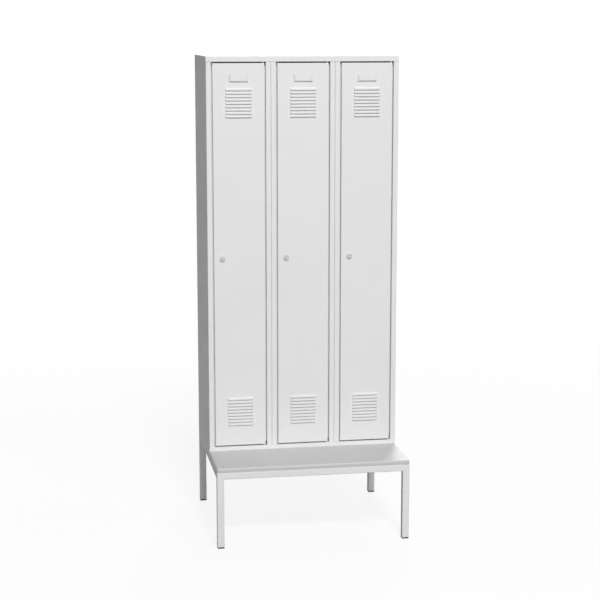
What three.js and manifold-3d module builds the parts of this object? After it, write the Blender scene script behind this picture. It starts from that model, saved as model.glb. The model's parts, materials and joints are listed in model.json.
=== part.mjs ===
// A three-door steel gym locker standing on a tube base with a bench seat in front of it.
// Millimetres, +Z up, the doors face -Y, and the origin is on the floor under the middle of the whole.

import * as THREE from 'three';
import { ConvexGeometry } from 'three/addons/geometries/ConvexGeometry.js';
import { mergeVertices } from 'three/addons/utils/BufferGeometryUtils.js';
import Module from 'manifold-3d';

const wasm = await Module();
wasm.setup();

// Whole locker
const compartmentCount = 3;
const compartmentPitch = 300;
const bodyHeight = 1870;
const bodyDepth = 480;
const baseHeight = 360;
const benchProjection = 305;
const seam = 0.3; // left between pieces that touch
const overrun = 5; // by which a cutting shape runs past what it cuts

// Bench base and seat
const tubeSize = 32;
const tubeWall = 1.5;
const tubeCornerRadius = 3;
const footHeight = 7;
const footEdgeRadius = 2;
const footInsertLength = 25;
const crossRailLead = 10; // how far the cross rail reaches in front of the body, under the seat
const seatThickness = 20;
const seatNoseRadius = 8;

// Body, folded from sheet
const sheet = 1;
const wallBendRadius = 3.5; // outside radius where a wall turns into its front strip
const stripWidth = 24; // front strip of a wall, beside the door
const stopLip = 10; // door stop behind the lock side of a door
const hingeLip = 10;
const rearFlange = 12;
const topRailHeight = 25;
const topRailReturn = 24;
const topRailLip = 8;
const bottomRailHeight = 38;
const standFlange = 20; // foot flange of the floor panel

// Doors, folded pans
const doorGap = 6;
const doorDepth = 20;
const doorSheet = 1;
const doorLip = 12;
const doorEdgeRadius = 2;
const stopGap = 1; // between a closed door and the stop behind it

// Pressed louvres, two groups in each door
const louvreCount = 9;
const louvrePitch = 15.3;
const louvreWidth = 124;
const louvreHeight = 10.5;
const louvreRise = 6; // at the mouth
const louvreCrestRise = 5.2; // where the top slope turns into the face
const louvreTopSlope = 3.5;
const louvreEndSlope = 3;
const topLouvreDrop = 123; // door's top edge down to the highest mouth
const bottomLouvreRise = 99; // door's bottom edge up to the lowest mouth

// Card holder, a pocket that is open at the top
const holderWidth = 92;
const holderHeight = 33;
const holderDepth = 7;
const holderSheet = 0.8;
const holderSideSlope = 10;
const holderFootSlope = 6;
const holderDrop = 53; // door's top edge down to the holder

// Stiffener, a hat channel on the back of the door
const stiffenerCrown = 26;
const stiffenerBrim = 12;
const stiffenerDepth = 14;
const stiffenerEndGap = 60; // from each group of louvres

// Hinge pins
const pivotInset = 6.5; // from the door's hinge edge
const pivotDepth = 6.5; // behind the door's front face
const pinRadius = 2.5;
const pinHeadRadius = 4.5;
const pinHeadHeight = 2;
const pinReach = 8; // into the door
const pinSides = 16;

// Cam locks
const lockInset = 40; // from the door's lock edge
const lockHeadRadius = 13.5;
const lockFaceRadius = 10;
const lockHeadHeight = 8;
const lockBodyRadius = 9.5;
const lockSides = 24;
const plugRadius = 7;
const plugRecess = 0.5;
const keySlotLength = 8;
const keySlotWidth = 1.8;
const keySlotDepth = 6;
const nutRadius = 13.5;
const nutHeight = 4;
const camGap = 1.5; // between the stop lip and the turned cam
const camThickness = 2;
const camWidth = 18;
const camOverlap = 7; // how far the turned cam reaches behind the stop lip
const camSquare = 8;
const rivetRadius = 6;
const rivetHeight = 1.5;

// Fittings inside a compartment
const shelfDrop = 270; // body's top down to the hat shelf
const shelfSetback = 40; // behind the body's front
const shelfFold = 20;
const coatRailRadius = 8;
const coatRailWall = 1.5;
const coatRailDrop = 55; // shelf down to the rail's axis
const coatRailFlangeRadius = 13;
const coatRailFlange = 2;
const coatRailSides = 20;
const hookDrop = 150; // shelf down to the underside of the hook
const hookWidth = 16;
const hookThickness = 3;
const hookBack = 50;
const hookReach = 35;
const hookTip = 18;
const hookBendRadius = 9;

// Fineness of bends, rounded corners and rounded edges
const bendSteps = 3;
const arcSteps = 2;
const edgeSteps = 2;
const tubeSteps = 1;

// Places that follow from the sizes
const width = compartmentCount * compartmentPitch;
const depth = bodyDepth + benchProjection;
const bodyFront = benchProjection - depth / 2;
const halfPitch = compartmentPitch / 2;
const wallPlane = halfPitch - seam / 2; // outer face of a wall, from the middle of its compartment
const wallInside = wallPlane - sheet;
const outerWallInside = width / 2 - seam / 2 - sheet;
const openingBottom = bottomRailHeight;
const openingTop = bodyHeight - topRailHeight;
const wallBack = bodyDepth - sheet - seam; // outer face of a wall's rear flange
const fittingBack = wallBack - sheet - seam;
const stopFront = doorDepth + stopGap;
const doorHalfWidth = halfPitch - stripWidth - doorGap;
const doorBottom = openingBottom + doorGap;
const doorTop = openingTop - doorGap;
const lockX = lockInset - doorHalfWidth;
const lockZ = (doorBottom + doorTop) / 2;
const pivotX = doorHalfWidth - pivotInset;
const camFront = stopFront + sheet + camGap;
const camReach = lockInset + doorGap - stopLip + camOverlap;
const shelfZ = bodyHeight - shelfDrop;
const topMouth = doorTop - topLouvreDrop;
const bottomMouth = doorBottom + bottomLouvreRise;
const louvreSpan = (louvreCount - 1) * louvrePitch;

// Turning shapes between geometry and solids

function solidOf(geometry) {
  const bare = geometry.clone();
  bare.deleteAttribute('normal');
  bare.deleteAttribute('uv');
  const merged = mergeVertices(bare);
  return new wasm.Manifold(new wasm.Mesh({
    numProp: 3,
    vertProperties: new Float32Array(merged.attributes.position.array),
    triVerts: new Uint32Array(merged.index.array),
  }));
}

function geometryOf(solid) {
  const mesh = solid.getMesh();
  const geometry = new THREE.BufferGeometry();
  geometry.setAttribute('position', new THREE.BufferAttribute(new Float32Array(mesh.vertProperties), 3));
  geometry.setIndex(new THREE.BufferAttribute(new Uint32Array(mesh.triVerts), 1));
  return geometry;
}

function union(...solids) {
  return solids.reduce((whole, piece) => whole.add(piece));
}

function cut(solid, ...tools) {
  return tools.reduce((rest, tool) => rest.subtract(tool), solid);
}

// Outlines

function rectangle([a0, a1], [b0, b1]) {
  const corners = [[a0, b0], [a1, b0], [a1, b1], [a0, b1]];
  return new THREE.Shape(corners.map(([a, b]) => new THREE.Vector2(a, b)));
}

function roundedRectangle([a0, a1], [b0, b1], radius) {
  const round = Math.min(radius, (a1 - a0) / 2, (b1 - b0) / 2);
  const shape = new THREE.Shape();
  shape.absarc(a1 - round, b1 - round, round, 0, Math.PI / 2);
  shape.absarc(a0 + round, b1 - round, round, Math.PI / 2, Math.PI);
  shape.absarc(a0 + round, b0 + round, round, Math.PI, 1.5 * Math.PI);
  shape.absarc(a1 - round, b0 + round, round, 1.5 * Math.PI, 2 * Math.PI);
  return shape;
}

function roundedSquare(size, radius) {
  return roundedRectangle([-size / 2, size / 2], [-size / 2, size / 2], radius);
}

// A path of corners [a, b, radius] with its rounded corners turned into short steps.
function bendCorners(corners, steps) {
  const points = [];
  corners.forEach(([a, b, radius], index) => {
    const corner = new THREE.Vector2(a, b);
    if (!radius) {
      points.push(corner);
      return;
    }
    const before = new THREE.Vector2(...corners[index - 1]).sub(corner).normalize();
    const after = new THREE.Vector2(...corners[index + 1]).sub(corner).normalize();
    const halfTurn = Math.acos(before.dot(after)) / 2;
    const centre = before.clone().add(after).normalize();
    centre.multiplyScalar(radius / Math.sin(halfTurn)).add(corner);
    const start = before.multiplyScalar(radius / Math.tan(halfTurn)).add(corner).sub(centre);
    const end = after.multiplyScalar(radius / Math.tan(halfTurn)).add(corner).sub(centre);
    const turn = Math.atan2(start.cross(end), start.dot(end));
    for (let step = 0; step <= steps; step += 1) {
      points.push(start.clone().rotateAround(new THREE.Vector2(), turn * step / steps).add(centre));
    }
  });
  return points;
}

// The outline of a sheet folded along a path, its thickness to the left of the path.
function foldedOutline(corners, thickness) {
  const path = bendCorners(corners, bendSteps);
  const normals = path.slice(1).map((point, index) => {
    const along = point.clone().sub(path[index]).normalize();
    return new THREE.Vector2(-along.y, along.x);
  });
  const offset = path.map((point, index) => {
    const first = normals[Math.max(index - 1, 0)];
    const second = normals[Math.min(index, normals.length - 1)];
    const mitre = first.clone().add(second);
    return mitre.multiplyScalar(thickness / (1 + first.dot(second))).add(point);
  });
  return new THREE.Shape([...path, ...offset.reverse()]);
}

// Prisms of an outline: along Z from (x, y), along X from (y, z), and along Y from (z, x)

function prismZ(shape, [from, to], curveSegments = arcSteps) {
  const options = { depth: to - from, bevelEnabled: false, curveSegments };
  return new THREE.ExtrudeGeometry(shape, options).translate(0, 0, from);
}

function turnToX(geometry) {
  const axes = [new THREE.Vector3(0, 1, 0), new THREE.Vector3(0, 0, 1), new THREE.Vector3(1, 0, 0)];
  return geometry.applyMatrix4(new THREE.Matrix4().makeBasis(...axes));
}

function turnToY(geometry) {
  const axes = [new THREE.Vector3(0, 0, 1), new THREE.Vector3(1, 0, 0), new THREE.Vector3(0, 1, 0)];
  return geometry.applyMatrix4(new THREE.Matrix4().makeBasis(...axes));
}

function prismX(shape, range) {
  return turnToX(prismZ(shape, range));
}

function prismY(shape, range, curveSegments = arcSteps) {
  return turnToY(prismZ(shape, range, curveSegments));
}

// A prism whose two end faces have rounded edges.
function softPrismZ(shape, [from, to], edge) {
  const options = {
    depth: to - from - 2 * edge,
    bevelThickness: edge,
    bevelSize: edge,
    bevelOffset: -edge,
    bevelSegments: edgeSteps,
    curveSegments: arcSteps,
  };
  return new THREE.ExtrudeGeometry(shape, options).translate(0, 0, from + edge);
}

function block([x0, x1], [y0, y1], [z0, z1]) {
  const geometry = new THREE.BoxGeometry(x1 - x0, y1 - y0, z1 - z0);
  return geometry.translate((x0 + x1) / 2, (y0 + y1) / 2, (z0 + z1) / 2);
}

// A turned piece: profile points [radius, place along the axis], closed on themselves or on the axis.
function turnedY(profile, sides) {
  return new THREE.LatheGeometry(profile.map(([radius, y]) => new THREE.Vector2(radius, y)), sides);
}

function turnedZ(profile, sides) {
  return turnedY(profile, sides).rotateX(Math.PI / 2);
}

function rod(radius, from, to) {
  return [[0, from], [radius, from], [radius, to], [0, to]];
}

function hull(points) {
  return solidOf(new ConvexGeometry(points.map((point) => new THREE.Vector3(...point))));
}

// Materials

function finish(color, roughness, metalness) {
  return new THREE.MeshStandardMaterial({ color, roughness, metalness, flatShading: true });
}

function paintedSteel() {
  return finish(0xe4e5e5, 0.5, 0);
}

function seatBoard() {
  return finish(0xdcdddd, 0.55, 0);
}

function blackPlastic() {
  return finish(0x2b2c2e, 0.6, 0);
}

function zincedSteel() {
  return finish(0xb9bcbe, 0.4, 0.9);
}

function chromedMetal() {
  return finish(0xd4d6d8, 0.2, 1);
}

function piece(name, shape, material) {
  const geometry = shape.isBufferGeometry ? shape : geometryOf(shape);
  const mesh = new THREE.Mesh(geometry, material);
  mesh.name = name;
  return mesh;
}

// Bench base

function squareTube(length) {
  const outline = roundedSquare(tubeSize, tubeCornerRadius);
  outline.holes.push(roundedSquare(tubeSize - 2 * tubeWall, tubeCornerRadius - tubeWall));
  return prismZ(outline, [0, length], tubeSteps);
}

function leg(name, x, y) {
  const mesh = piece(name, squareTube(baseHeight - footHeight - seam), paintedSteel());
  mesh.position.set(x, y, footHeight + seam);
  return mesh;
}

function railAlongX(name, halfLength, y) {
  const mesh = piece(name, squareTube(2 * halfLength), paintedSteel());
  mesh.rotation.y = Math.PI / 2;
  mesh.position.set(-halfLength, y, baseHeight - tubeSize / 2);
  return mesh;
}

function railAlongY(name, x, halfLength) {
  const mesh = piece(name, squareTube(2 * halfLength), paintedSteel());
  mesh.rotation.x = -Math.PI / 2;
  mesh.position.set(x, -halfLength, baseHeight - tubeSize / 2);
  return mesh;
}

function foot(name, x, y) {
  const edge = Math.min(footEdgeRadius, footHeight / 3);
  const capCorner = Math.max(tubeCornerRadius, 2 * edge);
  const cap = softPrismZ(roundedSquare(tubeSize, capCorner), [0, footHeight], edge);
  const insertOutline = roundedSquare(tubeSize - 2 * (tubeWall + seam), tubeCornerRadius);
  const insert = prismZ(insertOutline, [footHeight / 2, footHeight + footInsertLength]);
  const mesh = piece(name, union(solidOf(cap), solidOf(insert)), blackPlastic());
  mesh.position.set(x, y, 0);
  return mesh;
}

// The board's upper edge is rounded at its front and both ends.
function benchSeat() {
  const nose = Math.min(seatNoseRadius, seatThickness / 2);
  const back = bodyFront - seam;
  const bottom = baseHeight + seam;
  const across = [-width / 2, width / 2];
  const along = [-depth / 2, back + 2 * nose];
  const upright = [0, bottom + seatThickness];
  const frontNose = prismX(roundedRectangle(along, upright, nose), [-width, width]);
  const endNoses = prismY(roundedRectangle(upright, across, nose), [-depth, back]);
  const plan = prismZ(roundedRectangle(across, along, nose), [bottom, 2 * bottom]);
  const board = solidOf(plan).intersect(solidOf(frontNose)).intersect(solidOf(endNoses));
  return piece('bench_seat', board, seatBoard());
}

function benchBase() {
  const base = new THREE.Group();
  const legX = (width - tubeSize) / 2;
  const legY = (depth - tubeSize) / 2;
  const halfAcross = width / 2 - tubeSize - seam;
  const halfAlong = depth / 2 - tubeSize - seam;
  for (const [end, y] of [['front', -legY], ['rear', legY]]) {
    for (const [side, x] of [['left', -legX], ['right', legX]]) {
      base.add(leg(`leg_${end}_${side}`, x, y));
      base.add(foot(`foot_${end}_${side}`, x, y));
    }
    base.add(railAlongX(`base_rail_${end}`, halfAcross, y));
  }
  base.add(railAlongX('base_rail_middle', halfAcross, bodyFront - crossRailLead + tubeSize / 2));
  base.add(railAlongY('base_rail_left', -legX, halfAlong));
  base.add(railAlongY('base_rail_right', legX, halfAlong));
  return base;
}

// Body. Its own frame has y = 0 at its front face and z = 0 at its underside.

function compartmentX(index) {
  return (index - (compartmentCount - 1) / 2) * compartmentPitch;
}

function pinHoles(range) {
  const hole = (index) => turnedZ(rod(pinRadius + seam, ...range), pinSides)
    .translate(compartmentX(index) + pivotX, pivotDepth, 0);
  return Array.from({ length: compartmentCount }, (_, index) => solidOf(hole(index)));
}

function roofPanel() {
  const fullWidth = [-width / 2, width / 2];
  const betweenWalls = [seam - outerWallInside, outerWallInside - seam];
  const roof = block(fullWidth, [0, bodyDepth], [bodyHeight - sheet, bodyHeight]);
  const fascia = block(fullWidth, [0, sheet], [openingTop, bodyHeight]);
  const fold = foldedOutline([
    [0, bodyHeight],
    [0, openingTop],
    [topRailReturn, openingTop],
    [topRailReturn, openingTop + topRailLip],
  ], sheet);
  const whole = union(solidOf(roof), solidOf(fascia), solidOf(prismX(fold, betweenWalls)));
  const holes = pinHoles([openingTop - overrun, openingTop + sheet + overrun]);
  return piece('roof_panel', cut(whole, ...holes), paintedSteel());
}

function floorPanel() {
  const betweenWalls = [seam - outerWallInside, outerWallInside - seam];
  const apron = block([-width / 2, width / 2], [0, sheet], [0, bottomRailHeight]);
  const tray = foldedOutline([
    [standFlange, 0],
    [0, 0],
    [0, bottomRailHeight],
    [fittingBack, bottomRailHeight],
    [fittingBack, 0],
    [fittingBack - standFlange, 0],
  ], -sheet);
  const whole = union(solidOf(apron), solidOf(prismX(tray, betweenWalls)));
  const holes = pinHoles([bottomRailHeight - sheet - overrun, bottomRailHeight + overrun]);
  return piece('floor_panel', cut(whole, ...holes), paintedSteel());
}

function backPanel() {
  const heights = [0, bodyHeight - sheet - seam];
  const panel = block([-width / 2, width / 2], [bodyDepth - sheet, bodyDepth], heights);
  return piece('back_panel', panel, paintedSteel());
}

// A compartment's wall, with its front strip and door stop folded from the same sheet. The left wall
// of a compartment stops its door, and the right wall's fold turns away from the hinges.
function wall(name, hand, isOuter) {
  const stripEdge = halfPitch - stripWidth;
  const lipEdge = hand < 0 ? stripEdge - stopLip : stripEdge + hingeLip;
  const bend = Math.max(wallBendRadius, sheet);
  const corners = [
    [wallPlane - rearFlange, wallBack],
    [wallPlane, wallBack],
    [wallPlane, 0, bend],
    [stripEdge, 0],
    [stripEdge, stopFront],
    [lipEdge, stopFront],
  ];
  const outline = foldedOutline(corners.map(([x, y, radius]) => [hand * x, y, radius]), -hand * sheet);
  const stripEnd = openingTop - seam;
  const stripStart = openingBottom + seam;
  const bottom = isOuter ? 0 : stripStart;
  const top = bodyHeight - sheet - seam;
  const frontX = [-compartmentPitch, compartmentPitch];
  const insideX = hand < 0 ? [-wallInside, 0] : [0, wallInside];
  const foldY = [-overrun, stopFront + sheet + overrun];
  const notches = [];
  if (isOuter) {
    for (const range of [[bottom - overrun, stripStart], [stripEnd, top + overrun]]) {
      notches.push(solidOf(block(frontX, [-overrun, sheet + seam], range)));
      notches.push(solidOf(block(insideX, foldY, range)));
    }
  } else {
    const notchY = [-overrun, Math.max(topRailReturn, stopFront + sheet) + seam];
    notches.push(solidOf(block(frontX, notchY, [stripEnd, top + overrun])));
  }
  return piece(name, cut(solidOf(prismZ(outline, [bottom, top])), ...notches), paintedSteel());
}

// Doors

// A louvre is pressed outwards and opens downwards. Its outer shape has no inset, and its hollow is set
// in by the door's sheet and runs through it.
function louvreShape(mouth, inset, behind) {
  const endShift = inset * Math.hypot(louvreEndSlope, louvreRise) / louvreRise;
  const topShift = inset * Math.hypot(louvreTopSlope, louvreCrestRise) / louvreCrestRise;
  const half = louvreWidth / 2 - endShift;
  const top = mouth + louvreHeight - topShift;
  const lip = louvreRise - inset;
  const crest = louvreCrestRise - inset;
  const crestZ = top - louvreTopSlope * crest / louvreCrestRise;
  const halfAt = (rise) => half - louvreEndSlope * rise / louvreRise;
  return hull([-1, 1].flatMap((side) => [
    [side * half, behind, mouth],
    [side * half, behind, top],
    [side * half, 0, mouth],
    [side * half, 0, top],
    [side * halfAt(crest), -crest, crestZ],
    [side * halfAt(lip), -lip, mouth],
  ]));
}

function louvreMouths() {
  const mouths = [];
  for (let index = 0; index < louvreCount; index += 1) {
    mouths.push(topMouth - index * louvrePitch);
    mouths.push(bottomMouth + index * louvrePitch);
  }
  return mouths;
}

function doorPan() {
  const edge = Math.min(doorEdgeRadius, 2 * doorSheet);
  const half = doorHalfWidth;
  const outline = rectangle([doorBottom, doorTop], [-half, half]);
  const slab = solidOf(turnToY(softPrismZ(outline, [0, doorDepth], edge)));
  const inner = half - doorSheet;
  const innerZ = [doorBottom + doorSheet, doorTop - doorSheet];
  const hollow = block([-inner, inner], [doorSheet, doorDepth - doorSheet], innerZ);
  const mouth = half - doorLip;
  const mouthZ = [doorBottom + doorLip, doorTop - doorLip];
  const opening = block([-mouth, mouth], [doorDepth / 2, doorDepth + overrun], mouthZ);
  const lockHole = turnedY(rod(lockBodyRadius + seam, -overrun, doorSheet + overrun), lockSides);
  lockHole.translate(lockX, 0, lockZ);
  const throughFlange = [doorBottom - overrun, doorBottom + doorSheet + overrun];
  const pinHole = turnedZ(rod(pinRadius + seam, ...throughFlange), pinSides);
  pinHole.translate(pivotX, pivotDepth, 0);
  const upperPinHole = pinHole.clone().translate(0, 0, doorTop - doorBottom - doorSheet);
  return cut(slab, ...[hollow, opening, lockHole, pinHole, upperPinHole].map(solidOf));
}

function doorSolid() {
  const mouths = louvreMouths();
  const hoods = mouths.map((mouth) => louvreShape(mouth, 0, doorSheet / 2));
  const hollows = mouths.map((mouth) => louvreShape(mouth, doorSheet, doorSheet + overrun));
  return cut(union(doorPan(), ...hoods), ...hollows);
}

function cardHolder(name) {
  const half = holderWidth / 2;
  const bottom = doorTop - holderDrop - holderHeight;
  const top = bottom + holderHeight;
  const back = -seam;
  const front = back - holderDepth;
  const outer = hull([-1, 1].flatMap((side) => [
    [side * half, back, bottom],
    [side * half, back, top],
    [side * (half - holderSideSlope), front, bottom + holderFootSlope],
    [side * (half - holderSideSlope), front, top],
  ]));
  const run = holderDepth - holderSheet;
  const sideShift = holderSheet * Math.hypot(holderSideSlope, holderDepth) / holderDepth;
  const footShift = holderSheet * Math.hypot(holderFootSlope, holderDepth) / holderDepth;
  const backSide = half - sideShift;
  const backFoot = bottom + footShift;
  const frontSide = backSide - holderSideSlope * run / holderDepth;
  const frontFoot = backFoot + holderFootSlope * run / holderDepth;
  const pocket = hull([-1, 1].flatMap((side) => [
    [side * backSide, back, backFoot],
    [side * backSide, back, top + overrun],
    [side * frontSide, back - run, frontFoot],
    [side * frontSide, back - run, top + overrun],
  ]));
  return piece(name, cut(outer, pocket), paintedSteel());
}

function doorStiffener(name) {
  const crown = stiffenerCrown / 2;
  const brim = crown + stiffenerBrim;
  const near = doorSheet + seam;
  const outline = foldedOutline([
    [-brim, near],
    [-crown, near],
    [-crown, near + stiffenerDepth],
    [crown, near + stiffenerDepth],
    [crown, near],
    [brim, near],
  ], doorSheet);
  const bottom = bottomMouth + louvreSpan + louvreHeight + stiffenerEndGap;
  const top = topMouth - louvreSpan - stiffenerEndGap;
  return piece(name, prismZ(outline, [bottom, top]), paintedSteel());
}

// Cam lock. Its pieces have their own frame, with y = 0 at the door's front face.

function atLock(mesh) {
  mesh.position.set(lockX, 0, lockZ);
  return mesh;
}

function lockHousing(name) {
  const bore = plugRadius + seam;
  const profile = [
    [bore, -lockHeadHeight],
    [lockFaceRadius, -lockHeadHeight],
    [lockHeadRadius, -seam],
    [lockBodyRadius, -seam],
    [lockBodyRadius, camFront - seam],
    [bore, camFront - seam],
    [bore, -lockHeadHeight],
  ];
  return atLock(piece(name, turnedY(profile, lockSides), chromedMetal()));
}

function lockNut(name) {
  const outline = new THREE.Shape();
  for (let corner = 0; corner < 6; corner += 1) {
    const turn = corner * Math.PI / 3;
    const place = [nutRadius * Math.cos(turn), nutRadius * Math.sin(turn)];
    if (corner === 0) outline.moveTo(...place);
    else outline.lineTo(...place);
  }
  outline.holes.push(new THREE.Path().absarc(0, 0, lockBodyRadius + seam, 0, 2 * Math.PI));
  const from = doorSheet + seam;
  return atLock(piece(name, prismY(outline, [from, from + nutHeight], lockSides / 2), zincedSteel()));
}

function lockPlug(name) {
  const face = plugRecess - lockHeadHeight;
  const shoulder = camFront - seam;
  const rivetFrom = camFront + camThickness + seam;
  const side = camSquare / 2;
  const core = turnedY(rod(plugRadius, face, shoulder), lockSides);
  const squareY = [shoulder - camThickness, rivetFrom + rivetHeight / 2];
  const square = block([-side, side], squareY, [-side, side]);
  const rivet = turnedY(rod(rivetRadius, rivetFrom, rivetFrom + rivetHeight), pinSides);
  const slotX = [-keySlotWidth / 2, keySlotWidth / 2];
  const slot = block(slotX, [face - overrun, face + keySlotDepth], [-keySlotLength / 2, keySlotLength / 2]);
  const whole = union(solidOf(core), solidOf(square), solidOf(rivet));
  return atLock(piece(name, cut(whole, solidOf(slot)), chromedMetal()));
}

// The cam hangs down when the lock is open.
function lockCam(name) {
  const round = camWidth / 2;
  const hole = camSquare / 2 + seam;
  const outline = new THREE.Shape();
  outline.absarc(0, 0, round, -Math.PI / 2, Math.PI / 2);
  outline.absarc(round - camReach, 0, round, Math.PI / 2, 1.5 * Math.PI);
  outline.holes.push(rectangle([-hole, hole], [-hole, hole]));
  const plate = prismY(outline, [camFront, camFront + camThickness], lockSides / 4);
  return atLock(piece(name, plate, zincedSteel()));
}

// Hinge pins

function topHingePin(name) {
  const headFrom = openingTop + sheet + seam;
  const profile = [
    [0, doorTop - pinReach],
    [pinRadius, doorTop - pinReach],
    [pinRadius, headFrom],
    [pinHeadRadius, headFrom],
    [pinHeadRadius, headFrom + pinHeadHeight],
    [0, headFrom + pinHeadHeight],
  ];
  const mesh = piece(name, turnedZ(profile, pinSides), zincedSteel());
  mesh.position.set(pivotX, pivotDepth, 0);
  return mesh;
}

// The lower pin carries the door on its collar.
function bottomHingePin(name) {
  const headTo = openingBottom - sheet - seam;
  const profile = [
    [0, headTo - pinHeadHeight],
    [pinHeadRadius, headTo - pinHeadHeight],
    [pinHeadRadius, headTo],
    [pinRadius, headTo],
    [pinRadius, openingBottom + seam],
    [pinHeadRadius, openingBottom + seam],
    [pinHeadRadius, doorBottom - seam],
    [pinRadius, doorBottom - seam],
    [pinRadius, doorBottom + pinReach],
    [0, doorBottom + pinReach],
  ];
  const mesh = piece(name, turnedZ(profile, pinSides), zincedSteel());
  mesh.position.set(pivotX, pivotDepth, 0);
  return mesh;
}

// Fittings inside a compartment

function hatShelf(name) {
  const outline = foldedOutline([
    [shelfSetback, shelfZ - shelfFold],
    [shelfSetback, shelfZ],
    [fittingBack, shelfZ],
  ], -sheet);
  return piece(name, prismX(outline, [seam - wallInside, wallInside - seam]), paintedSteel());
}

function coatRail(name) {
  const half = wallInside - seam;
  const bore = coatRailRadius - coatRailWall;
  const profile = [
    [bore, -half],
    [coatRailFlangeRadius, -half],
    [coatRailFlangeRadius, coatRailFlange - half],
    [coatRailRadius, coatRailFlange - half],
    [coatRailRadius, half - coatRailFlange],
    [coatRailFlangeRadius, half - coatRailFlange],
    [coatRailFlangeRadius, half],
    [bore, half],
    [bore, -half],
  ];
  const mesh = piece(name, turnedY(profile, coatRailSides), zincedSteel());
  mesh.rotation.z = -Math.PI / 2;
  mesh.position.set(0, bodyDepth / 2, shelfZ - coatRailDrop);
  return mesh;
}

function coatHook(name) {
  const back = bodyDepth - sheet - seam;
  const bottom = shelfZ - hookDrop;
  const outline = foldedOutline([
    [back, bottom + hookBack],
    [back, bottom, hookBendRadius],
    [back - hookReach, bottom, hookBendRadius],
    [back - hookReach, bottom + hookTip],
  ], -hookThickness);
  return piece(name, prismX(outline, [-hookWidth / 2, hookWidth / 2]), zincedSteel());
}

function compartment(index, door) {
  const group = new THREE.Group();
  const number = index + 1;
  group.position.x = compartmentX(index);
  group.add(wall(`wall_${number}_left`, -1, index === 0));
  group.add(wall(`wall_${number}_right`, 1, number === compartmentCount));
  group.add(piece(`door_${number}`, door, paintedSteel()));
  group.add(cardHolder(`card_holder_${number}`));
  group.add(doorStiffener(`door_stiffener_${number}`));
  group.add(lockHousing(`lock_housing_${number}`));
  group.add(lockNut(`lock_nut_${number}`));
  group.add(lockPlug(`lock_plug_${number}`));
  group.add(lockCam(`lock_cam_${number}`));
  group.add(topHingePin(`hinge_pin_top_${number}`));
  group.add(bottomHingePin(`hinge_pin_bottom_${number}`));
  group.add(hatShelf(`hat_shelf_${number}`));
  group.add(coatRail(`coat_rail_${number}`));
  group.add(coatHook(`coat_hook_${number}`));
  return group;
}

function body() {
  const group = new THREE.Group();
  group.position.set(0, bodyFront, baseHeight + seam);
  group.add(roofPanel(), floorPanel(), backPanel());
  const door = doorSolid();
  for (let index = 0; index < compartmentCount; index += 1) {
    group.add(compartment(index, door));
  }
  return group;
}

const locker = new THREE.Group();
locker.name = 'gym_locker';
locker.add(benchBase(), benchSeat(), body());

export default locker;
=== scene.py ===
import json
import math

import bmesh
import bpy
from mathutils import Matrix, Vector

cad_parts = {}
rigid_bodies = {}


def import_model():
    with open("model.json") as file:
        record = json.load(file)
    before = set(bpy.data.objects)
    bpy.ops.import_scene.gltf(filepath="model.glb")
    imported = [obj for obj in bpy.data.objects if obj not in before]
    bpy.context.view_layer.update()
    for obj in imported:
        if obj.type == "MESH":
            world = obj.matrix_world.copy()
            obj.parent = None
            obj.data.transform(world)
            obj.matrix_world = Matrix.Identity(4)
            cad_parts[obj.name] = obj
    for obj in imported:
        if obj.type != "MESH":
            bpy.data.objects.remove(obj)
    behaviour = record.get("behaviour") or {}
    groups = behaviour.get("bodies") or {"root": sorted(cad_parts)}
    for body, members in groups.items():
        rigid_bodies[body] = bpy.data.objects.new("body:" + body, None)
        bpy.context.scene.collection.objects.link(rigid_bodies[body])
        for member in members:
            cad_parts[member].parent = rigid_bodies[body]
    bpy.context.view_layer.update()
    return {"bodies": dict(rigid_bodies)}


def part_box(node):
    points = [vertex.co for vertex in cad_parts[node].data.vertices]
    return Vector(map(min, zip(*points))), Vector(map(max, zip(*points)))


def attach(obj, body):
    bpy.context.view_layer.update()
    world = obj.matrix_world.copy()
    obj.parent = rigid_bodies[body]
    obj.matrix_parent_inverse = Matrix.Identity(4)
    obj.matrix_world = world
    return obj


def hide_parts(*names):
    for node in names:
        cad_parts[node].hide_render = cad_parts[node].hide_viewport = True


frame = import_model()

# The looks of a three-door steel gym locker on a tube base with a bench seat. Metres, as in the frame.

# Photograph's camera
CAMERA_PLACE = (-1.2255, -7.2085, 2.3605)
CAMERA_YAW = 9.647       # degrees to the right of +Y
CAMERA_PITCH = 9.931     # degrees below the horizon
CAMERA_LENS = 93.47      # millimetres
SENSOR_WIDTH = 36        # millimetres
CLIP_END = 100

# Light: the level of the world, and soft lamps as (place, (width, height), watts)
WORLD_LEVEL = 0.17
LAMP_TARGET = (0, 0, 1.1)
LAMPS = {
    "key": ((0.3, -14.6, 14.7), (3.0, 2.5), 2380),
    "right": ((7.0, -13.1, 14.5), (3.0, 2.5), 700),
    "rear": ((3.7, 13.6, 8.6), (6.0, 5.0), 1000),
    "low": ((-3.5, -19.6, 3.2), (5.0, 3.0), 590),
}

# Stage floor
FLOOR_SIZE = 80
FLOOR_ROUGHNESS = 0.9
FLOOR_BOUNCE = (0.3, 0.3, 0.3)       # colour with which it lights the object
FLOOR_SEEN = (0.95, 0.95, 0.95)      # colour that the camera and mirrors see
FLOOR_FADE = (1.0, 5.0)  # metres from the middle, over which the floor fades into the backdrop
FLOOR_GLOW = (0.86, 1.0)             # share of plain white in it, before and after the fade

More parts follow.
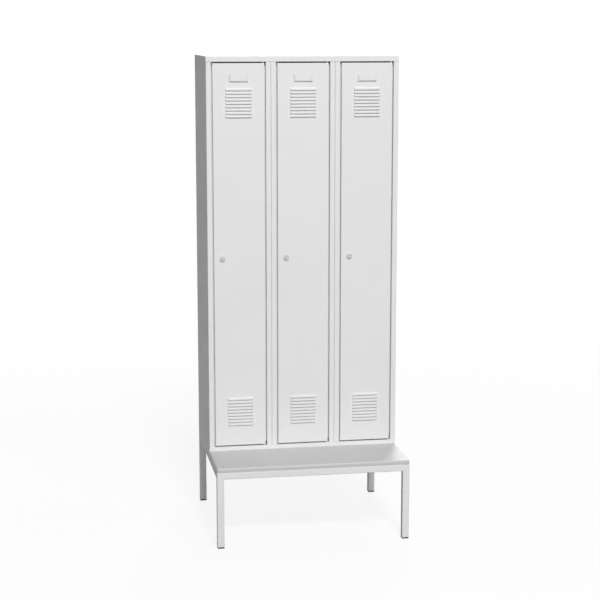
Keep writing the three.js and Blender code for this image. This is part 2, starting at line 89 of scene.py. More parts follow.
# Sheet metal
SEAM = 0.0003            # left between pieces that touch
SHEET = 0.001            # gauge of the body, doors and shelves
FOLD = 0.002             # outside radius of a fold
WALL_BEND = 0.0035       # outside radius where a wall turns into its front strip
STRIP = 0.024            # front strip of a wall, beside the door
STRIP_FOLD = 0.0035      # outside radius of the fold beside the gap
STOP_LIP = 0.010         # door stop behind the lock side of a door
HINGE_LIP = 0.010
REAR_FLANGE = 0.012
WELD_DIMPLE = (0.0035, 0.0004)       # radius and depth of a spot weld's mark
DIMPLE_SPACING = 0.12
TOP_RETURN = 0.024       # depth of the roof's fold behind the tops of the doors
TOP_LIP = 0.008
STAND_FLANGE = 0.020     # foot flange of the floor
STOP_GAP = 0.001         # between a closed door and its stop

# Doors
DOOR_DEPTH = 0.020
DOOR_LIP = 0.012         # width of the flange behind
DOOR_FOLD = 0.003        # outside radius of the fold round a door's front
LOUVRE_COUNT = 9
LOUVRE_PITCH = 0.0153
LOUVRE_WIDTH = 0.124
LOUVRE_HEIGHT = 0.0105
LOUVRE_RISE = 0.006      # at the mouth
LOUVRE_CREST = 0.0052    # rise where the top slope turns into the face
LOUVRE_TOP = 0.0035      # run of the top slope
LOUVRE_END = 0.004       # run of a louvre's rounded end
TOP_LOUVRE_DROP = 0.123  # door's top edge down to the highest mouth
BOTTOM_LOUVRE_RISE = 0.099           # door's bottom edge up to the lowest mouth
LOUVRE_TOP_STEPS = 6
LOUVRE_END_STEPS = 5
LOUVRE_PANELS = 3        # across the flat of a louvre

# Card holders
HOLDER_SHEET = 0.0008
HOLDER_SIDE = 0.010      # run of the sloped sides
HOLDER_FOOT = 0.006      # run of the sloped foot

# Locks
LOCK_BODY_RADIUS = 0.0095
LOCK_FACE_RADIUS = 0.0125
LOCK_FACE_EDGE = 0.0014  # outside radius of the head's front edge
LOCK_CROWN = 0.0004      # by which the head's face falls away towards its edge
LOCK_SKIRT = 0.0009      # thickness of the rim that lies on the door
LOCK_EDGE = 0.0004       # outside radius of the other edges
PLUG_RADIUS = 0.007
KEY_SLOT = (0.0018, 0.006, 0.008)    # width, depth and length
# The key slot's black fill is painted shade: a dark part where the slot's own dark inside would be.
SLOT_SHADE_DEPTH = 0.001    # from the plug's face
SLOT_SHADE_PLAY = 0.0001
NUT_RADIUS = 0.0135      # over its corners
CAM_SQUARE = 0.008       # of the plug, in the square hole of the tongue
CAM_END = 0.85           # radius of the tongue's corners, as a share of half its width

# Hinge pins
PIN_RADIUS = 0.0025
PIN_EDGE = 0.0006        # outside radius of the edges

# Fittings inside a compartment. A screw head is its radius and height.
RAIL_RADIUS = 0.008
RAIL_WALL = 0.0015
RAIL_FLANGE = 0.002
RAIL_SCREW_HEAD = (0.0022, 0.0014)
HOOK_STRIP = 0.003       # thickness
HOOK_BEND = 0.009
HOOK_TIP = 0.018         # height of the turned-up end
HOOK_EDGE = 2 * SEAM     # width of the softened edges
HOOK_SCREW_HEAD = (0.004, 0.0024)
HOOK_SCREW_PLACES = (0.5, 0.82)      # shares of the hook's height
BUFFER_RADIUS = 0.003
BUFFER_HEIGHT = 0.0009
BUFFER_INSET = 0.004     # from the door's lock edge
BUFFER_PLACES = (0.04, 0.96)         # shares of the door's height
STIFFENER_CROWN = 0.026  # width of the part that stands off the door

# Base and seat
TUBE_CORNER = 0.003
TUBE_WALL = 0.0015
SEAT_NOSE = 0.008        # radius of the upper edge
SEAT_EDGE = 0.0012       # radius of the lower edge
FOOT_EDGE = 0.0025
WELD_RADIUS = 0.0022
WELD_RIPPLE = 0.1        # share by which the bead's radius goes up and down
WELD_END = 0.5           # radius of the bead's ends, as a share of its own
WELD_STEP = 0.0012
WELD_SIDES = 10
SEAT_SCREWS = 4          # in each of two rows
SEAT_SCREW_HEAD = (0.0065, 0.0035)   # radius and height
SEAT_SCREW_GAP = SEAM / 10           # left between a head and the rail

# Fineness
FOLD_STEPS = 5
SMALL_STEPS = 2          # round the smallest edges
ROUND_SIDES = 48
SMALL_SIDES = 24
DIMPLE_SIDES = 16
ARC = 0.5                # profile of a bevel that is an arc
HEXAGON = 6
SHARP_ANGLE = math.radians(38)

# Places that follow from the frame
DOORS = range(1, 1 + sum(name.startswith("door_leaf_") for name in frame["bodies"]))
ROOF_LOW, ROOF_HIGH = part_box("roof_panel")
FLOOR_LOW, FLOOR_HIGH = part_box("floor_panel")
BACK_LOW, BACK_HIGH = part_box("back_panel")
FRONT = ROOF_LOW.y
OPENING_TOP = ROOF_LOW.z
OPENING_BOTTOM = FLOOR_HIGH.z


# Outlines

def rounded_path(corners, closed=False):
    """The points of a path of corners (a, b, radius), with short steps round each radius."""
    points = []
    count = len(corners)
    for index, (a, b, radius) in enumerate(corners):
        corner = Vector((a, b))
        is_end = not closed and index in (0, count - 1)
        if not radius or is_end:
            points.append(corner)
            continue
        before = (Vector(corners[index - 1][:2]) - corner).normalized()
        after = (Vector(corners[(index + 1) % count][:2]) - corner).normalized()
        half = before.angle(after) / 2
        centre = corner + (before + after).normalized() * (radius / math.sin(half))
        start = corner + before * (radius / math.tan(half)) - centre
        end = corner + after * (radius / math.tan(half)) - centre
        turn = math.atan2(start.x * end.y - start.y * end.x, start.dot(end))
        for step in range(FOLD_STEPS + 1):
            points.append(centre + Matrix.Rotation(turn * step / FOLD_STEPS, 2) @ start)
    return points


def folded_outline(corners, thickness):
    """The outline of a sheet folded along a path, its thickness to the left of the path."""
    path = rounded_path(corners)
    normals = []
    for first, second in zip(path, path[1:]):
        along = (second - first).normalized()
        normals.append(Vector((-along.y, along.x)))
    other = []
    for index, point in enumerate(path):
        first = normals[max(index - 1, 0)]
        second = normals[min(index, len(normals) - 1)]
        other.append(point + (first + second) * (thickness / (1 + first.dot(second))))
    return path + other[::-1]


def box_outline(low, high, radius=0.0):
    """A rectangle between two corners, its own corners rounded."""
    corners = [(low[0], low[1]), (high[0], low[1]), (high[0], high[1]), (low[0], high[1])]
    return rounded_path([(a, b, radius) for a, b in corners], closed=True)


# Meshes

def place_x(along, a, b):
    return (along, a, b)


def place_y(along, a, b):
    return (a, along, b)


def place_z(along, a, b):
    return (a, b, along)


def prism(outline, place, start, end):
    """A closed mesh: an outline carried from start to end along the axis that place stands for."""
    bm = bmesh.new()
    rings = [[bm.verts.new(place(along, *point)) for point in outline] for along in (start, end)]
    bm.faces.new(rings[0])
    bm.faces.new(rings[1][::-1])
    count = len(outline)
    for index in range(count):
        after = (index + 1) % count
        bm.faces.new((rings[0][index], rings[1][index], rings[1][after], rings[0][after]))
    bmesh.ops.recalc_face_normals(bm, faces=bm.faces)
    return bm


def tube(outer, inner, place, start, end):
    """A prism with a hole along it. Both outlines have the same number of points."""
    bm = bmesh.new()
    rings = []
    for outline, along in ((outer, start), (outer, end), (inner, end), (inner, start)):
        rings.append([bm.verts.new(place(along, *point)) for point in outline])
    bridge(bm, rings + rings[:1])
    bmesh.ops.recalc_face_normals(bm, faces=bm.faces)
    return bm


def fill_between(bm, line, following):
    """Quads between two open rows of points."""
    for index in range(len(line) - 1):
        bm.faces.new((line[index], line[index + 1], following[index + 1], following[index]))


def bridge(bm, rings):
    """Quads between closed rings of equal length."""
    for ring, following in zip(rings, rings[1:]):
        for index in range(len(ring)):
            after = (index + 1) % len(ring)
            bm.faces.new((ring[index], following[index], following[after], ring[after]))


def turned(profile, sides=ROUND_SIDES, closed=False):
    """A piece turned about the Y axis from a profile of (radius, y)."""
    bm = bmesh.new()
    rings = []
    for radius, y in profile:
        if radius == 0:
            rings.append([bm.verts.new((0, y, 0))])
            continue
        angles = [2 * math.pi * side / sides for side in range(sides)]
        rings.append([bm.verts.new((radius * math.cos(a), y, radius * math.sin(a))) for a in angles])
    if closed:
        rings.append(rings[0])
    for ring, following in zip(rings, rings[1:]):
        for index in range(sides):
            after = (index + 1) % sides
            corners = [ring[index % len(ring)], following[index % len(following)],
                       following[after % len(following)], ring[after % len(ring)]]
            bm.faces.new(list(dict.fromkeys(corners)))
    bmesh.ops.recalc_face_normals(bm, faces=bm.faces)
    return bm


def block(low, high):
    """A box between two corners, as a start or a cutter."""
    bm = bmesh.new()
    bmesh.ops.create_cube(bm, size=1)
    centre = (Vector(low) + Vector(high)) / 2
    size = Vector(high) - Vector(low)
    bmesh.ops.transform(bm, matrix=Matrix.LocRotScale(centre, None, size), verts=bm.verts)
    return bm


def moved(bm, *place):
    bmesh.ops.translate(bm, vec=place, verts=bm.verts)
    return bm


def round_edges(bm, edges, radius, steps=FOLD_STEPS):
    bmesh.ops.bevel(bm, geom=edges, offset=radius, segments=steps, profile=ARC, affect="EDGES")


def joined(*meshes):
    """Several meshes as one, each still its own closed shell."""
    whole = bmesh.new()
    for bm in meshes:
        mesh = bpy.data.meshes.new("joined")
        bm.to_mesh(mesh)
        bm.free()
        whole.from_mesh(mesh)
        bpy.data.meshes.remove(mesh)
    return whole


def plain_object(bm, name="tool"):
    mesh = bpy.data.meshes.new(name)
    bm.to_mesh(mesh)
    bm.free()
    obj = bpy.data.objects.new(name, mesh)
    bpy.context.scene.collection.objects.link(obj)
    return obj


def thickened(bm, thickness, offset):
    """A skin made as thick as its sheet, against its normals for an offset of -1, along them for 1."""
    shell = plain_object(bm)
    sheet = shell.modifiers.new("Sheet", "SOLIDIFY")
    sheet.thickness = thickness
    sheet.offset = offset
    return applied(shell)


def applied(obj):
    """The object's mesh with its modifiers applied, as a bmesh. The object itself is removed."""
    bpy.context.view_layer.update()
    evaluated = obj.evaluated_get(bpy.context.evaluated_depsgraph_get())
    bm = bmesh.new()
    bm.from_mesh(evaluated.to_mesh())
    evaluated.to_mesh_clear()
    mesh = obj.data
    bpy.data.objects.remove(obj)
    bpy.data.meshes.remove(mesh)
    return bm


def combined(bm, tool, operation):
    """One mesh cut by another, kept only inside it, or joined to it as one shell."""
    target = plain_object(bm)
    cutter = plain_object(tool)
    modifier = target.modifiers.new("Combined", "BOOLEAN")
    modifier.operation = operation
    modifier.solver = "EXACT"
    modifier.object = cutter
    result = applied(target)
    mesh = cutter.data
    bpy.data.objects.remove(cutter)
    bpy.data.meshes.remove(mesh)
    return result


def cut(bm, *tools):
    for tool in tools:
        bm = combined(bm, tool, "DIFFERENCE")
    return bm


def welded(bm, *others):
    for other in others:
        bm = combined(bm, other, "UNION")
    return bm


# Materials

def new_material(name, color, roughness, metallic=0.0):
    material = bpy.data.materials.new(name)
    material.use_nodes = True
    shader = material.node_tree.nodes["Principled BSDF"]
    shader.inputs["Base Color"].default_value = (*color, 1)
    shader.inputs["Roughness"].default_value = roughness
    shader.inputs["Metallic"].default_value = metallic
    return material, shader


def linear(value):
    """A colour as it is seen, from 0 to 1, as the number that the shader takes."""
    if value <= 0.04045:
        return value / 12.92
    return ((value + 0.055) / 1.055) ** 2.4


def grey(value, warmth=0.0):
    return tuple(linear(value + shift) for shift in (warmth, 0, -warmth))


def noise(material, scale, detail=2.0, stretch=(1, 1, 1)):
    """Noise in the piece's own metres."""
    tree = material.node_tree
    place = tree.nodes.new("ShaderNodeTexCoord")
    mapping = tree.nodes.new("ShaderNodeMapping")
    mapping.inputs["Scale"].default_value = stretch
    texture = tree.nodes.new("ShaderNodeTexNoise")
    texture.inputs["Scale"].default_value = scale
    texture.inputs["Detail"].default_value = detail
    tree.links.new(place.outputs["Object"], mapping.inputs["Vector"])
    tree.links.new(mapping.outputs["Vector"], texture.inputs["Vector"])
    return texture.outputs["Fac"]


def ramp(material, value, low, high, from_min=0.3, from_max=0.7):
    """A value between from_min and from_max, spread over low to high."""
    node = material.node_tree.nodes.new("ShaderNodeMapRange")
    node.inputs["From Min"].default_value = from_min
    node.inputs["From Max"].default_value = from_max
    node.inputs["To Min"].default_value = low
    node.inputs["To Max"].default_value = high
    material.node_tree.links.new(value, node.inputs["Value"])
    return node.outputs["Result"]


def blend_colors(material, factor, first, second):
    """The first colour where factor is 0, the second where it is 1."""
    node = material.node_tree.nodes.new("ShaderNodeMix")
    node.data_type = "RGBA"
    node.inputs["A"].default_value = (*first, 1)
    node.inputs["B"].default_value = (*second, 1)
    material.node_tree.links.new(factor, node.inputs["Factor"])
    return node.outputs["Result"]


def bump(material, shader, height, distance, strength):
    """Relief from a value between 0 and 1, up to distance deep."""
    node = material.node_tree.nodes.new("ShaderNodeBump")
    node.inputs["Distance"].default_value = distance
    node.inputs["Strength"].default_value = strength
    material.node_tree.links.new(height, node.inputs["Height"])
    material.node_tree.links.new(node.outputs["Normal"], shader.inputs["Normal"])


def vary_color(material, shader, pattern, first, second):
    share = ramp(material, pattern, low=0, high=1)
    color = blend_colors(material, share, first, second)
    material.node_tree.links.new(color, shader.inputs["Base Color"])


def vary_roughness(material, shader, pattern, low, high):
    material.node_tree.links.new(ramp(material, pattern, low, high), shader.inputs["Roughness"])


def powder_coat():
    """Satin powder coat: fine orange peel, and a sheen that varies a little over the sheet."""
    material, shader = new_material("powder_coat", grey(0.89), roughness=0.6)
    shader.inputs["Specular IOR Level"].default_value = 0.3
    vary_color(material, shader, noise(material, scale=2.3), grey(0.885), grey(0.897))
    vary_roughness(material, shader, noise(material, scale=9), low=0.54, high=0.64)
    bump(material, shader, noise(material, scale=420, detail=3), distance=0.00006, strength=0.5)
    return material


def seat_laminate():
    """Matt laminate with a fine pearl texture and faint clouds drawn out along the seat."""
    material, shader = new_material("seat_laminate", grey(0.77), roughness=0.46)
    shader.inputs["Specular IOR Level"].default_value = 0.35
    clouds = noise(material, scale=5, detail=4, stretch=(0.3, 1, 1))
    vary_color(material, shader, clouds, grey(0.762), grey(0.778))
    vary_roughness(material, shader, noise(material, scale=14), low=0.41, high=0.51)
    bump(material, shader, noise(material, scale=900), distance=0.00005, strength=0.6)
    return material


def foot_plastic():
    """Black moulded plastic with a fine grain."""
    material, shader = new_material("foot_plastic", grey(0.2), roughness=0.55)
    vary_roughness(material, shader, noise(material, scale=60), low=0.48, high=0.62)
    bump(material, shader, noise(material, scale=1500), distance=0.00008, strength=0.6)
    return material


def zinc_plate():
    """Bright zinc plate with cloudy patches."""
    material, shader = new_material("zinc_plate", grey(0.78), roughness=0.35, metallic=1.0)
    patches = noise(material, scale=90, detail=4)
    vary_color(material, shader, patches, grey(0.74), grey(0.83, warmth=0.008))
    vary_roughness(material, shader, noise(material, scale=240, detail=3), low=0.28, high=0.45)
    bump(material, shader, noise(material, scale=1100), distance=0.00003, strength=0.4)
    return material


def satin_chrome():
    """Satin chrome plate under a clear matt lacquer, with hairline scratches."""
    material, shader = new_material("satin_chrome", grey(0.76), roughness=0.52, metallic=0.5)
    scratches = noise(material, scale=300, detail=4, stretch=(1, 1, 14))
    vary_roughness(material, shader, scratches, low=0.46, high=0.58)
    bump(material, shader, scratches, distance=0.00001, strength=0.3)
    return material


# The material for each of the record's slots
FINISH = {
    "painted_steel": powder_coat(),
    "seat_board": seat_laminate(),
    "foot_plastic": foot_plastic(),
    "zinc": zinc_plate(),
    "chrome": satin_chrome(),
}


# Pieces

def smooth(obj):
    """Smooth bends that leave the flat faces flat."""
    mesh = obj.data
    mesh.polygons.foreach_set("use_smooth", [True] * len(mesh.polygons))
    mesh.set_sharp_from_angle(angle=SHARP_ANGLE)
    weighted = obj.modifiers.new("Flat faces", "WEIGHTED_NORMAL")
    weighted.keep_sharp = True


def piece(name, bm, slot, body, *nodes):
    """A shown piece that rides on a body and may stand for CAD nodes."""
    obj = plain_object(bm, name)
    obj.data.materials.append(FINISH[slot])
    smooth(obj)
    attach(obj, body)
    if nodes:
        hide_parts(*nodes)


# Base and seat

def square_tube(name, place, reach=0.0):
    """A rounded square tube where a CAD node is, along the axis that place stands for.

    It may reach on at both ends, into the rounded corner of the tube that it is welded to.
    """
    low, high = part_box(name)
    axis = (place_x, place_y, place_z).index(place)
    across = [index for index in range(3) if index != axis]
    outer = box_outline([low[i] for i in across], [high[i] for i in across], TUBE_CORNER)
    inner_low = [low[i] + TUBE_WALL for i in across]
    inner_high = [high[i] - TUBE_WALL for i in across]
    inner = box_outline(inner_low, inner_high, TUBE_CORNER - TUBE_WALL)
    whole = tube(outer, inner, place, low[axis] - reach, high[axis] + reach)
    piece(f"{name}_tube", whole, "painted_steel", "cabinet", name)


def foot(name):
    """A moulded cap with softened edges, and its insert in the leg."""
    low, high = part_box(name)
    leg_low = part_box(name.replace("foot", "leg"))[0]
    cap = block(low, (high.x, high.y, leg_low.z - SEAM))
    upright = [edge for edge in cap.edges if abs(edge.verts[0].co.z - edge.verts[1].co.z) > SEAM]
    round_edges(cap, upright, TUBE_CORNER)
    rim = [edge for edge in cap.edges if max(v.co.z for v in edge.verts) < low.z + SEAM]
    round_edges(cap, rim, FOOT_EDGE)
    inset = TUBE_WALL + SEAM
    outline = box_outline((low.x + inset, low.y + inset), (high.x - inset, high.y - inset), TUBE_CORNER)
    insert = prism(outline, place_z, (low.z + leg_low.z) / 2, high.z)
    piece(f"{name}_cap", welded(cap, insert), "foot_plastic", "cabinet", name)


def bench_seat():
    """A board with its upper edge rounded at the front and both ends."""
    low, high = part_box("bench_seat")
    board = block(low, high)
    exposed = [edge for edge in board.edges if not all(v.co.y > high.y - SEAM for v in edge.verts)]
    nose = [edge for edge in exposed if all(v.co.z > high.z - SEAM for v in edge.verts)]
    nose += [edge for edge in exposed if all(v.co.y < low.y + SEAM for v in edge.verts)
             and abs(edge.verts[0].co.z - edge.verts[1].co.z) > SEAM]
    round_edges(board, nose, SEAT_NOSE, 2 * FOLD_STEPS)
    bottom = [edge for edge in board.edges if all(v.co.z < low.z + SEAM for v in edge.verts)
              and not all(v.co.y > high.y - SEAM for v in edge.verts)]
    round_edges(board, bottom, SEAT_EDGE)
    piece("seat_board", board, "seat_board", "cabinet", "bench_seat")


def weld_bead(start, end):
    """A rippled bead of weld along an inside corner."""
    start, end = Vector(start), Vector(end)
    along = (end - start).normalized()
    across = along.orthogonal().normalized()
    upward = along.cross(across)
    steps = round((end - start).length / WELD_STEP)
    bm = bmesh.new()
    rings = []
    for step in range(steps + 1):
        radius = WELD_RADIUS * (1 + WELD_RIPPLE * math.cos(math.pi * step))
        if step in (0, steps):
            radius *= WELD_END
        centre = start.lerp(end, step / steps)
        angles = [2 * math.pi * side / WELD_SIDES for side in range(WELD_SIDES)]
        rings.append([bm.verts.new(centre + (across * math.cos(a) + upward * math.sin(a)) * radius)
                      for a in angles])
    bridge(bm, rings)
    bm.faces.new(rings[0])
    bm.faces.new(rings[-1][::-1])
    bmesh.ops.recalc_face_normals(bm, faces=bm.faces)
    return bm


def base_welds():
    """Beads where the rails meet the legs from below, and where the cross rail meets the side rails."""
    beads = []
    for name in ("front", "rear"):
        low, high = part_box(f"base_rail_{name}")
        for x in (low.x, high.x):
            beads.append(weld_bead((x, low.y + TUBE_CORNER, low.z), (x, high.y - TUBE_CORNER, low.z)))
    for name in ("left", "right"):
        low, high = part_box(f"base_rail_{name}")
        for y in (low.y, high.y):
            beads.append(weld_bead((low.x + TUBE_CORNER, y, low.z), (high.x - TUBE_CORNER, y, low.z)))
    low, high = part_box("base_rail_middle")
    for x in (low.x, high.x):
        for y in (low.y, high.y):
            beads.append(weld_bead((x, y, low.z + TUBE_CORNER), (x, y, high.z - TUBE_CORNER)))
    piece("base_weld_beads", joined(*beads), "painted_steel", "cabinet")


def screw_head(radius, height):
    """A rounded screw head on y = 0 that faces -Y, with a hexagon socket."""
    head = turned(rounded_path([
        (0, 0, 0),
        (radius, 0, 0),
        (radius, -height, height / 2),
        (0, -height, 0),
    ]), SMALL_SIDES)
    width, bottom, outside = radius / 2, -height / 3, -2 * height
    socket = turned([(0, outside), (width, outside), (width, bottom), (0, bottom)], HEXAGON)
    return cut(head, socket)


def turned_to(bm, axis):
    """A piece that faces -Y, turned to face along another axis."""
    turn = Vector((0, -1, 0)).rotation_difference(Vector(axis))
    bmesh.ops.rotate(bm, matrix=turn.to_matrix(), verts=bm.verts)
    return bm


def seat_screws():
    """Screws from below, through the front and cross rails into the seat."""
    low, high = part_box("bench_seat")
    heads = []
    for name in ("front", "middle"):
        rail_low, rail_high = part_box(f"base_rail_{name}")
        y = (rail_low.y + rail_high.y) / 2
        for index in range(SEAT_SCREWS):
            x = low.x + (high.x - low.x) * (index + 0.5) / SEAT_SCREWS
            head = turned_to(screw_head(*SEAT_SCREW_HEAD), (0, 0, -1))
            heads.append(moved(head, x, y, rail_low.z - SEAT_SCREW_GAP))
    piece("seat_screw_heads", joined(*heads), "zinc", "cabinet")


def base():
    """Legs, feet and rails. A rail reaches into the rounded corners of the legs."""
    for end in ("front", "rear"):
        for side in ("left", "right"):
            square_tube(f"leg_{end}_{side}", place_z)
            foot(f"foot_{end}_{side}")
        square_tube(f"base_rail_{end}", place_x, TUBE_CORNER)
    square_tube("base_rail_middle", place_x, SEAM)
    for side in ("left", "right"):
        square_tube(f"base_rail_{side}", place_y, TUBE_CORNER)
    base_welds()
    seat_screws()


# Body

def wall(name, hand, middle):
    """A compartment's wall with its front strip and door stop folded from one sheet.

    hand is -1 for the wall on the lock side and 1 for the one on the hinge side.
    """
    low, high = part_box(name)
    plane = max(abs(low.x - middle), abs(high.x - middle))
    strip_edge = plane + SEAM / 2 - STRIP
    stop = FRONT + DOOR_DEPTH + STOP_GAP
    lip_edge = strip_edge - STOP_LIP if hand < 0 else strip_edge + HINGE_LIP
    inward = FOLD if hand > 0 else FOLD - SHEET
    corners = [
        (plane - REAR_FLANGE, high.y, 0),
        (plane, high.y, FOLD),
        (plane, FRONT, WALL_BEND),
        (strip_edge, FRONT, STRIP_FOLD),
        (strip_edge, stop, inward),
        (lip_edge, stop, 0),
    ]
    outline = folded_outline([(middle + hand * x, y, r) for x, y, r in corners], -hand * SHEET)
    sheet = prism(outline, place_z, low.z, high.z)
    strip_low, strip_high = OPENING_BOTTOM + SEAM, OPENING_TOP - SEAM
    reach = plane + STRIP
    edges = sorted((middle, middle + hand * (plane - SHEET)))
    notches = []
    is_outer = low.z < OPENING_BOTTOM  # it goes on past the floor's end, down to the base
    if is_outer:
        for bottom, top in ((low.z - SHEET, strip_low), (strip_high, high.z + SHEET)):
            notches.append(block((middle - reach, FRONT - SHEET, bottom),
                                 (middle + reach, FRONT + SHEET + SEAM, top)))
            notches.append(block((edges[0], FRONT - SHEET, bottom),
                                 (edges[1], stop + FOLD + SHEET, top)))
    else:
        notches.append(block((middle - reach, FRONT - SHEET, strip_high),
                             (middle + reach, FRONT + TOP_RETURN + SEAM, high.z + SHEET)))
    piece(f"{name}_sheet", cut(sheet, *notches), "painted_steel", "cabinet", name)


def end_notches(low_y, high_y, low_z, high_z):
    """Cutters that shorten the roof or the floor at both ends, to clear the outer walls."""
    notches = []
    for end, hand in ((ROOF_LOW.x, 1), (ROOF_HIGH.x, -1)):
        reach = sorted((end - hand * SHEET, end + hand * (2 * SHEET + SEAM)))
        notches.append(block((reach[0], low_y, low_z), (reach[1], high_y, high_z)))
    return notches


def roof():
    """The roof with its front fascia, and the return behind the tops of the doors."""
    shell = prism(folded_outline([
        (ROOF_HIGH.y, ROOF_HIGH.z, 0),
        (FRONT, ROOF_HIGH.z, FOLD),
        (FRONT, OPENING_TOP, FOLD),
        (FRONT + TOP_RETURN, OPENING_TOP, FOLD),
        (FRONT + TOP_RETURN, OPENING_TOP + TOP_LIP, 0),
    ], SHEET), place_x, ROOF_LOW.x, ROOF_HIGH.x)
    notches = end_notches(FRONT + SHEET + SEAM, FRONT + TOP_RETURN + SHEET,
                          OPENING_TOP - SHEET, ROOF_HIGH.z - SHEET - SEAM)
    holes = [pin_hole(number, OPENING_TOP) for number in DOORS]
    piece("roof_sheet", cut(shell, *notches, *holes), "painted_steel", "cabinet", "roof_panel")


def pin_hole(number, height):
    """A cutter for the hole of a hinge pin."""
    low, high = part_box(f"hinge_pin_top_{number}")
    radius = PIN_RADIUS + SEAM
    hole = turned([(0, -DOOR_LIP), (radius, -DOOR_LIP), (radius, DOOR_LIP), (0, DOOR_LIP)], SMALL_SIDES)
    bmesh.ops.rotate(hole, matrix=Matrix.Rotation(math.pi / 2, 3, "X"), verts=hole.verts)
    return moved(hole, (low.x + high.x) / 2, (low.y + high.y) / 2, height)


def floor_tray():
    """The floor with its front apron and the flanges that stand on the base."""
    rear = FLOOR_HIGH.y
    shell = prism(folded_outline([
        (FRONT + STAND_FLANGE, FLOOR_LOW.z, 0),
        (FRONT, FLOOR_LOW.z, FOLD),
        (FRONT, OPENING_BOTTOM, FOLD),
        (rear, OPENING_BOTTOM, FOLD),
        (rear, FLOOR_LOW.z, FOLD),
        (rear - STAND_FLANGE, FLOOR_LOW.z, 0),
    ], -SHEET), place_x, FLOOR_LOW.x, FLOOR_HIGH.x)
    notches = end_notches(FRONT + SHEET + SEAM, rear + SHEET, FLOOR_LOW.z - SHEET, FLOOR_HIGH.z + SHEET)
    holes = [pin_hole(number, OPENING_BOTTOM) for number in DOORS]
    piece("floor_sheet", cut(shell, *notches, *holes), "painted_steel", "cabinet", "floor_panel")


# Doors

def eased(share):
    """From 0 to 1 with a level start and end."""
    return 0.5 - 0.5 * math.cos(math.pi * min(max(share, 0), 1))


def louvre_columns(half):
    """Places across a door where the mesh of its front has columns."""
    reach = LOUVRE_WIDTH / 2
    ends = [reach - LOUVRE_END * step / LOUVRE_END_STEPS for step in range(LOUVRE_END_STEPS + 1)]
    inner = ends[-1]
    right = [inner / LOUVRE_PANELS, half] + ends
    return sorted(right + [-x for x in right])


def louvre_rise(x, height):
    """How far a louvre stands out, at a place across it and a height above its mouth."""
    end = eased((LOUVRE_WIDTH / 2 - abs(x)) / LOUVRE_END)
    face = LOUVRE_HEIGHT - LOUVRE_TOP
    if height > face:
        return LOUVRE_CREST * end * eased((LOUVRE_HEIGHT - height) / LOUVRE_TOP)
    return end * (LOUVRE_RISE + (LOUVRE_CREST - LOUVRE_RISE) * height / face)


def door_rows(bottom, top):
    """Rows of the front sheet, as (z, height above a mouth or None).

    Each mouth has two rows at the same z, between which the sheet is split.
    """
    mouths = []
    for index in range(LOUVRE_COUNT):
        mouths.append(top - TOP_LOUVRE_DROP - index * LOUVRE_PITCH)
        mouths.append(bottom + BOTTOM_LOUVRE_RISE + index * LOUVRE_PITCH)
    rows = [(bottom + DOOR_FOLD, None), (top - DOOR_FOLD, None)]
    face = LOUVRE_HEIGHT - LOUVRE_TOP
    heights = [0.0, face / 2] + [face + LOUVRE_TOP * step / LOUVRE_TOP_STEPS
                                 for step in range(LOUVRE_TOP_STEPS + 1)]
    for mouth in mouths:
        rows.append((mouth, None))
        rows.extend((mouth + height, height) for height in heights)
    return sorted(rows, key=lambda row: (row[0], row[1] is not None))


def door_shell(half, bottom, top):
    """The outer skin of a door: louvred front, rounded folds, side flanges and the lip behind."""
    bm = bmesh.new()
    edge, low, high = half - DOOR_FOLD, bottom + DOOR_FOLD, top - DOOR_FOLD
    columns = louvre_columns(edge)
    rows = door_rows(bottom, top)
    grid = []
    for row, (z, height) in enumerate(rows):
        is_split = row > 0 and rows[row - 1][0] == z
        line = []
        for index, x in enumerate(columns):
            rise = 0 if height is None else louvre_rise(x, height)
            is_same = is_split and rise == 0
            line.append(grid[-1][index] if is_same else bm.verts.new((x, -rise, z)))
        grid.append(line)
    for row, (line, following) in enumerate(zip(grid, grid[1:])):
        if rows[row][0] != rows[row + 1][0]:
            fill_between(bm, line, following)
    sides = [row for index, row in enumerate(grid)
             if index == 0 or rows[index][0] != rows[index - 1][0]]
    loop = list(grid[0]) + [row[-1] for row in sides[1:]] + list(grid[-1][-2::-1])
    loop += [row[0] for row in sides[-2:0:-1]]
    rings = [loop]
    for outset, y in fold_profile():
        rings.append([bm.verts.new(ring_point(vert.co, edge, low, high, outset, y)) for vert in loop])
    bridge(bm, rings)
    bmesh.ops.recalc_face_normals(bm, faces=bm.faces)
    return bm


def fold_profile():
    """Steps round the front fold, along the side flange and round into the lip, as (outset, y)."""
    points = []
    for step in range(1, FOLD_STEPS + 1):
        turn = math.pi / 2 * step / FOLD_STEPS
        points.append((DOOR_FOLD * math.sin(turn), DOOR_FOLD * (1 - math.cos(turn))))
    for step in range(FOLD_STEPS + 1):
        turn = math.pi / 2 * step / FOLD_STEPS
        outset = DOOR_FOLD - FOLD * (1 - math.cos(turn))
        points.append((outset, DOOR_DEPTH - FOLD + FOLD * math.sin(turn)))
    points.append((DOOR_FOLD - DOOR_LIP, DOOR_DEPTH))
    return points


def ring_point(co, half, low, high, outset, y):
    """A point of the front's edge, moved outwards by outset and back to y."""
    x, z = co.x, co.z
    if abs(abs(x) - half) < SEAM:
        x += math.copysign(outset, x)
    if abs(z - low) < SEAM:
        z -= outset
    if abs(z - high) < SEAM:
        z += outset
    return (x, y, z)


def door_mesh():
    """One door about x = 0, with its front at y = 0, as a mesh to copy."""
    low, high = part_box("door_1")
    middle = (low.x + high.x) / 2
    half = (high.x - low.x) / 2
    solid = thickened(door_shell(half, low.z, high.z), SHEET, -1)
    lock_x, lock_z = lock_middle(1)
    radius = LOCK_BODY_RADIUS + SEAM
    hole = turned([(0, -SHEET), (radius, -SHEET), (radius, 2 * SHEET), (0, 2 * SHEET)])
    holes = [moved(hole, lock_x - middle, 0, lock_z)]
    for height in (low.z, high.z):
        holes.append(moved(pin_hole(1, height), -middle, -FRONT, 0))
    solid = cut(solid, *holes)
    mesh = bpy.data.meshes.new("door")
    solid.to_mesh(mesh)
    solid.free()
    return mesh


